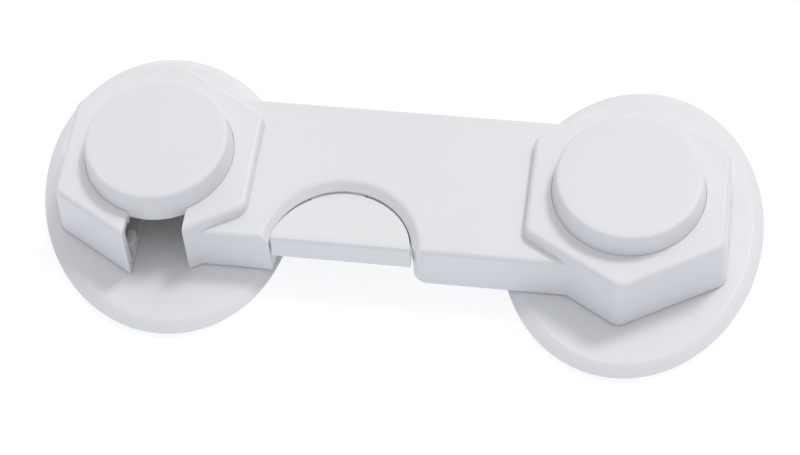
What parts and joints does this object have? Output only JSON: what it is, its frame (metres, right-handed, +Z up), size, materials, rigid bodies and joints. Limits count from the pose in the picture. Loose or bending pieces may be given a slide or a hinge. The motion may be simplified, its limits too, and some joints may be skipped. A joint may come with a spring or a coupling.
{
  "type": "cabinet safety lock",
  "caption": "Stick-on cabinet lock whose moulded arm pivots on an oval base plate and latches over a keeper, released by a round button and a thumb pad.",
  "frame": {"origin": "midway between the keeper's axis and the pivot's axis, on the mounting plane under the adhesive pads", "axes": "+X along the arm from the keeper to the pivot, +Y away from the thumb pad, +Z up out of the mounting plane"},
  "size_m": [0.1653, 0.0758, 0.0225],
  "materials": {
    "white_plastic": "white moulded ABS, satin",
    "foam_tape": "white double-sided foam tape",
    "acetal": "natural acetal",
    "steel": "spring steel and small plated screws"
  },
  "bodies": {
    "bases": {"left_base_plate": "white_plastic", "left_adhesive_pad": "foam_tape", "keeper_pin": "acetal", "right_base_plate": "white_plastic", "right_adhesive_pad": "foam_tape", "thrust_washer": "acetal", "pivot_washer": "steel", "pivot_screw": "steel"},
    "arm": {"arm_top_shell": "white_plastic", "arm_bottom_cover": "white_plastic", "cover_screws": "steel", "pivot_bush": "acetal", "pivot_cap": "white_plastic", "spring_catch": "steel", "catch_clamp": "steel", "catch_screws": "steel", "spring_seat": "acetal", "seat_screws": "steel", "button_spring": "steel", "thumb_pad_spring": "steel", "draw_bar_spring": "steel"},
    "push_button": {"push_button": "white_plastic"},
    "thumb_pad": {"thumb_pad": "white_plastic"},
    "draw_bar": {"draw_bar": "acetal"}
  },
  "joints": [
    {"name": "arm_swing", "type": "hinge", "parent": "bases", "child": "arm", "pos_m": [0.0525, 0, 0.0027], "axis": [0, 0, 1], "range_deg": [-100, 0], "deforming": ["spring_catch"]},
    {"name": "button_press", "type": "slide", "parent": "arm", "child": "push_button", "axis": [0, 0, -1], "range_m": [0, 0.0033], "stiffness_N_per_m": 600, "deforming": ["button_spring", "spring_catch"]},
    {"name": "pad_press", "type": "slide", "parent": "arm", "child": "thumb_pad", "axis": [0, 0, -1], "range_m": [0, 0.003], "stiffness_N_per_m": 500, "deforming": ["thumb_pad_spring"]},
    {"name": "draw_bar_slide", "type": "slide", "parent": "arm", "child": "draw_bar", "axis": [1, 0, 0], "range_m": [0, 0.003], "deforming": ["draw_bar_spring"]}
  ],
  "couplings": [
    {"joint": "draw_bar_slide", "follows": "pad_press", "ratio": 1}
  ]
}
